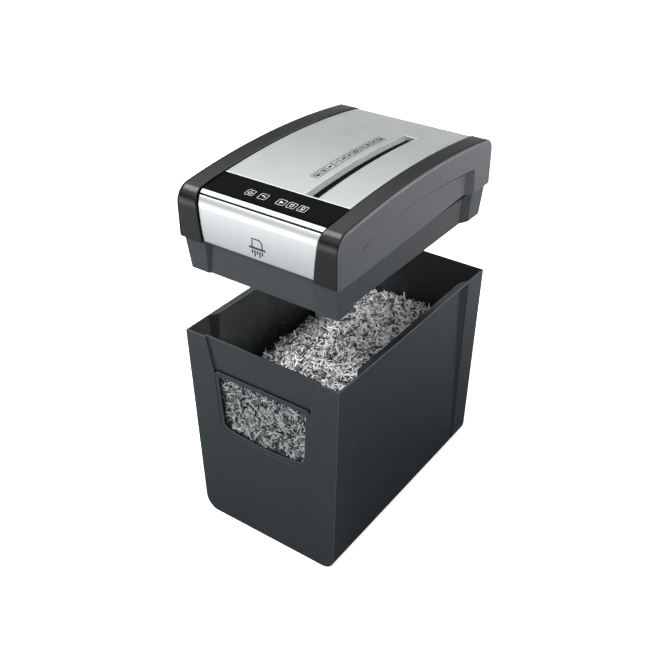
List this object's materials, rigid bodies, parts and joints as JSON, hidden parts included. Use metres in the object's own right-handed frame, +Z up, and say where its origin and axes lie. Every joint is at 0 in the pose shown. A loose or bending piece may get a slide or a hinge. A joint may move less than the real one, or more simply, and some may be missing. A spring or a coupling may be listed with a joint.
{
  "type": "paper shredder",
  "caption": "Deep waste bin with a view window and a lift-off cutting head: paper slot, control panel, geared cross-cut cutters and motor.",
  "frame": {"origin": "centre of the bin's underside, on the floor", "axes": "+Z up, the window and fascia face -Y, the paper slot lies nearer +X"},
  "size_m": [0.25, 0.3744, 0.534],
  "materials": {
    "bin_plastic": "charcoal ABS, satin gloss",
    "smoked_window": "smoked clear polystyrene",
    "shredded_paper": "cross-cut office paper, printed and plain",
    "casing_plastic": "dark grey ABS, fine texture",
    "cover_plastic": "grey ABS, satin",
    "rail_plastic": "graphite ABS, semi-gloss",
    "silver_panel": "silver metallic lacquer on ABS, satin",
    "gloss_black": "piano black acrylic",
    "light_lens": "smoked acrylic light window",
    "black_nylon": "glass-filled nylon, black",
    "natural_nylon": "natural acetal",
    "steel": "zinc plated steel",
    "hardened_steel": "hardened and ground steel",
    "motor_can": "pressed steel can",
    "sintered_bronze": "oil-filled sintered bronze",
    "board": "glass-epoxy circuit board"
  },
  "bodies": {
    "bin": {"bin_shell": "bin_plastic", "window_insert": "smoked_window", "shred_heap": "shredded_paper"},
    "head": {"lower_casing": "casing_plastic", "side_cover_right": "cover_plastic", "side_cover_left": "cover_plastic", "rail_right": "rail_plastic", "rail_left": "rail_plastic", "rear_cover": "rail_plastic", "front_fascia": "silver_panel", "fascia_trim": "silver_panel", "top_panel": "silver_panel", "control_panel": "gloss_black", "light_lens_ready": "light_lens", "light_lens_bin_full": "light_lens", "light_lens_jam": "light_lens", "throat_guide": "black_nylon", "cord_gland": "black_nylon", "stripper_comb_left": "black_nylon", "stripper_comb_right": "black_nylon", "bin_switch": "black_nylon", "sensor_bracket": "natural_nylon", "bearing_plate_front": "steel", "bearing_plate_rear": "steel", "tie_rod_1": "steel", "tie_rod_2": "steel", "tie_rod_3": "steel", "tie_rod_4": "steel", "idler_pin": "steel", "casing_screw_1": "steel", "casing_screw_2": "steel", "casing_screw_3": "steel", "casing_screw_4": "steel", "motor_screw_1": "steel", "motor_screw_2": "steel", "motor": "motor_can", "bush_front_left": "sintered_bronze", "bush_front_right": "sintered_bronze", "bush_rear_left": "sintered_bronze", "bush_rear_right": "sintered_bronze", "circuit_board": "board"},
    "cutter_left": {"cutter_shaft_left": "hardened_steel", "sync_gear_left": "hardened_steel", "drive_gear": "natural_nylon"},
    "cutter_right": {"cutter_shaft_right": "hardened_steel", "sync_gear_right": "hardened_steel"},
    "idler": {"idler_gear": "natural_nylon"},
    "motor_rotor": {"motor_pinion": "hardened_steel"},
    "power_button": {"power_button": "gloss_black"},
    "reverse_button": {"reverse_button": "gloss_black"},
    "sensor_flag": {"sensor_flag": "black_nylon"},
    "switch_plunger": {"switch_plunger": "natural_nylon"}
  },
  "joints": [
    {"name": "head_lift", "type": "slide", "parent": "bin", "child": "head", "axis": [0, 0, 1], "range_m": [-0.1397, 0]},
    {"name": "cutter_spin", "type": "hinge", "parent": "head", "child": "cutter_left", "pos_m": [0.026, 0, 0.46], "axis": [0, 1, 0], "continuous": true},
    {"name": "counter_cutter_spin", "type": "hinge", "parent": "head", "child": "cutter_right", "pos_m": [0.06, 0, 0.46], "axis": [0, 1, 0], "continuous": true},
    {"name": "idler_spin", "type": "hinge", "parent": "head", "child": "idler", "pos_m": [-0.016, 0.121, 0.48], "axis": [0, 1, 0], "continuous": true},
    {"name": "motor_spin", "type": "hinge", "parent": "head", "child": "motor_rotor", "pos_m": [-0.042, 0.11, 0.471], "axis": [0, 1, 0], "continuous": true},
    {"name": "power_press", "type": "slide", "parent": "head", "child": "power_button", "axis": [0, 0, -1], "range_m": [0, 0.001], "stiffness_N_per_m": 300},
    {"name": "reverse_press", "type": "slide", "parent": "head", "child": "reverse_button", "axis": [0, 0, -1], "range_m": [0, 0.001], "stiffness_N_per_m": 300},
    {"name": "sensor_tip", "type": "hinge", "parent": "head", "child": "sensor_flag", "pos_m": [0.033, -0.007, 0.505], "axis": [0, 1, 0], "range_deg": [0, 32], "stiffness_Nm_per_rad": 0.002},
    {"name": "switch_press", "type": "slide", "parent": "head", "child": "switch_plunger", "axis": [0, 0, 1], "range_m": [0, 0.003], "stiffness_N_per_m": 200}
  ],
  "couplings": [
    {"joint": "counter_cutter_spin", "follows": "cutter_spin", "ratio": -1},
    {"joint": "idler_spin", "follows": "cutter_spin", "ratio": -3.4286},
    {"joint": "motor_spin", "follows": "cutter_spin", "ratio": 13.714}
  ]
}
